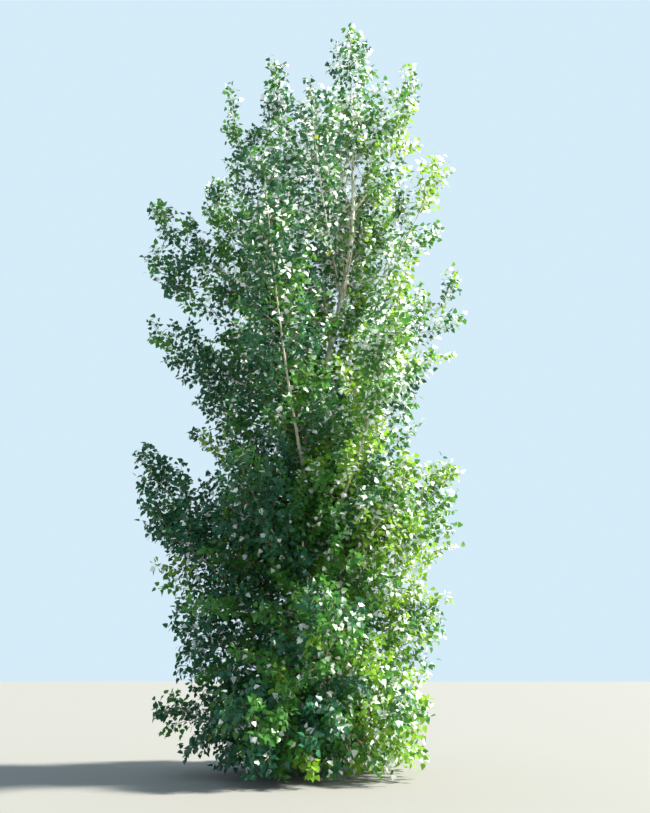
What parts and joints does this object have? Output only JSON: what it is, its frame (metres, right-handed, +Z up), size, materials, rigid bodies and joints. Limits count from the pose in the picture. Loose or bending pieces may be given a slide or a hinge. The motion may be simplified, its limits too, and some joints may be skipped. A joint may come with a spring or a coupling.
{
  "type": "lombardy poplar tree",
  "caption": "Tall, narrow poplar tree in full summer leaf, with a slender trunk, steeply rising boughs and masses of foliage down to the ground.",
  "frame": {"origin": "middle of the trunk's flat cut at ground level, at the mount named ground", "axes": "+Z up along the trunk, +X to the tree's right as the picture shows it, +Y away from that viewer"},
  "size_m": [6.6542, 5.4691, 16.0001],
  "materials": {
    "bark": "rough, furrowed grey bark",
    "bough_bark": "smooth pale grey bark with dark lenticels",
    "foliage": "glossy green leaves on thin twigs"
  },
  "bodies": {
    "root": {"bough_back_high": "bough_bark", "bough_back_left": "bough_bark", "bough_back_middle": "bough_bark", "bough_centre_leader": "bough_bark", "bough_front_high": "bough_bark", "bough_front_middle": "bough_bark", "bough_front_right": "bough_bark", "bough_left_arm_lower": "bough_bark", "bough_left_arm_upper": "bough_bark", "bough_left_crest": "bough_bark", "bough_left_high": "bough_bark", "bough_left_spur_low": "bough_bark", "bough_left_spur_middle": "bough_bark", "bough_left_spur_top": "bough_bark", "bough_left_waist": "bough_bark", "bough_right_crest": "bough_bark", "bough_right_high": "bough_bark", "bough_right_low": "bough_bark", "bough_right_shoulder": "bough_bark", "bough_right_waist": "bough_bark", "foliage_back_high": "foliage", "foliage_back_left": "foliage", "foliage_back_middle": "foliage", "foliage_centre_leader": "foliage", "foliage_front_high": "foliage", "foliage_front_middle": "foliage", "foliage_front_right": "foliage", "foliage_inner_1": "foliage", "foliage_inner_2": "foliage", "foliage_inner_3": "foliage", "foliage_inner_4": "foliage", "foliage_inner_5": "foliage", "foliage_left_arm_lower": "foliage", "foliage_left_arm_upper": "foliage", "foliage_left_crest": "foliage", "foliage_left_high": "foliage", "foliage_left_spur_low": "foliage", "foliage_left_spur_middle": "foliage", "foliage_left_spur_top": "foliage", "foliage_left_waist": "foliage", "foliage_lower_1": "foliage", "foliage_lower_2": "foliage", "foliage_lower_3": "foliage", "foliage_lower_4": "foliage", "foliage_middle_1": "foliage", "foliage_middle_2": "foliage", "foliage_middle_3": "foliage", "foliage_middle_4": "foliage", "foliage_right_crest": "foliage", "foliage_right_high": "foliage", "foliage_right_low": "foliage", "foliage_right_shoulder": "foliage", "foliage_right_waist": "foliage", "foliage_skirt_1": "foliage", "foliage_skirt_2": "foliage", "foliage_skirt_3": "foliage", "foliage_skirt_4": "foliage", "foliage_skirt_5": "foliage", "foliage_top": "foliage", "trunk": "bark"}
  },
  "joints": []
}
